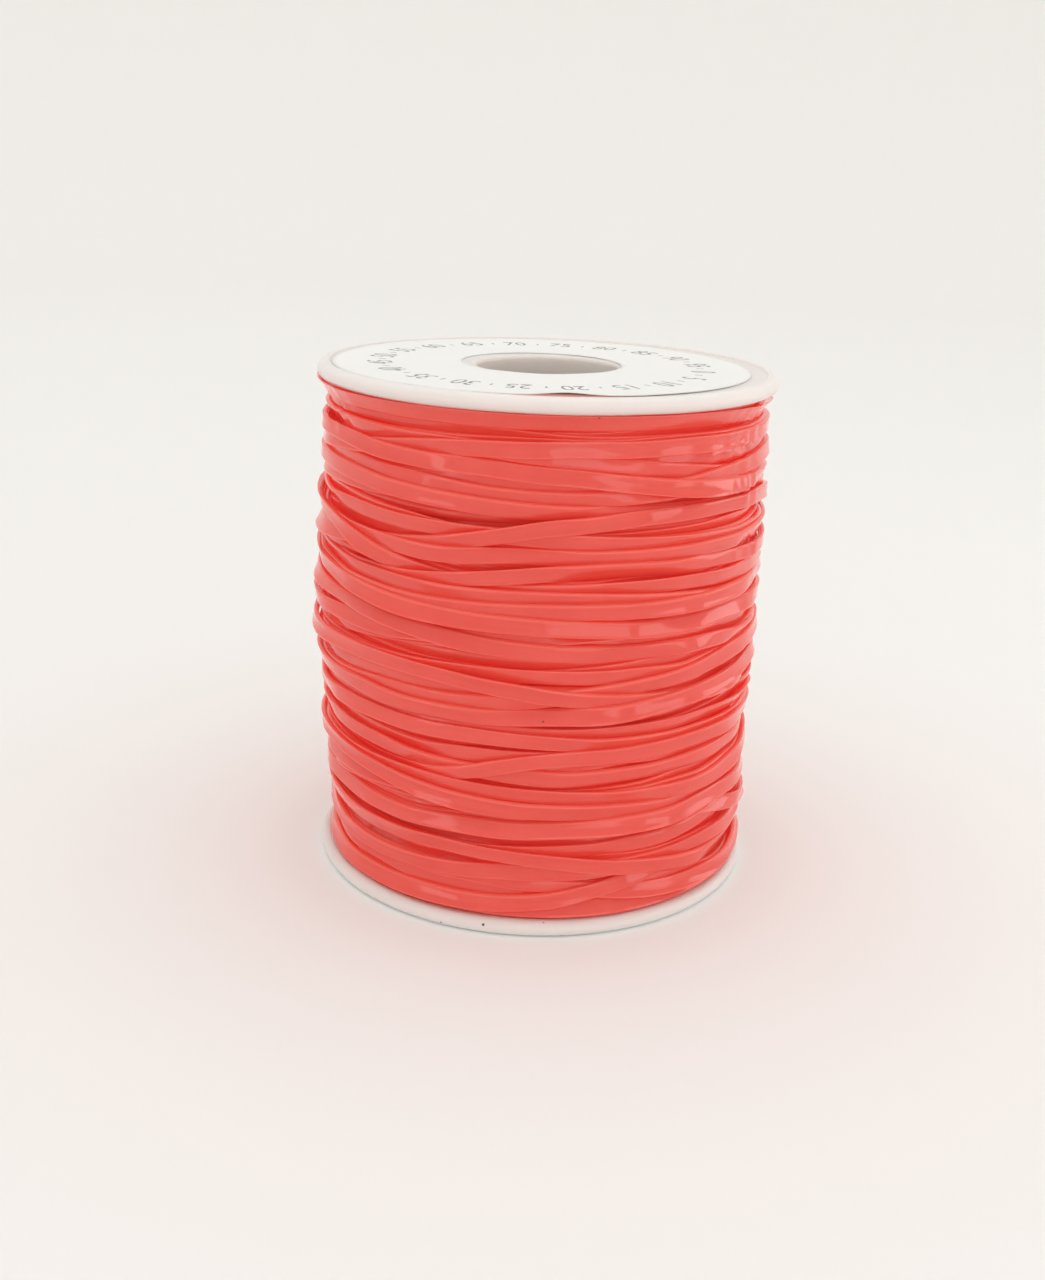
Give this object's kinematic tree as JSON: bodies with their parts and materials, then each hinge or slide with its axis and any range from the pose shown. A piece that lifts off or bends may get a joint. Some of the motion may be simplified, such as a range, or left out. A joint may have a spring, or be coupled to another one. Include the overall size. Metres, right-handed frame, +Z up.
{
  "type": "craft lace reel",
  "caption": "Upright reel of flat glossy plastic lace wound between two round moulded flanges on a hollow barrel, with a paper ring on the upper flange.",
  "frame": {"origin": "centre of the lower flange's underside, on the axis of the bore", "axes": "+Z up along the bore, away from the surface that the reel stands on; +X to the side away from which the paper ring is stuck off centre; the lace's start slots lie on +X"},
  "size_m": [0.0734, 0.0732, 0.0815],
  "materials": {
    "spool_plastic": "satin",
    "label_paper": "matte",
    "lace": "gloss"
  },
  "bodies": {
    "root": {"lower_flange": "spool_plastic", "upper_flange": "spool_plastic", "barrel": "spool_plastic", "paper_label": "label_paper", "inner_lace_layers": "lace", "outer_lace_turns": "lace"}
  },
  "joints": []
}
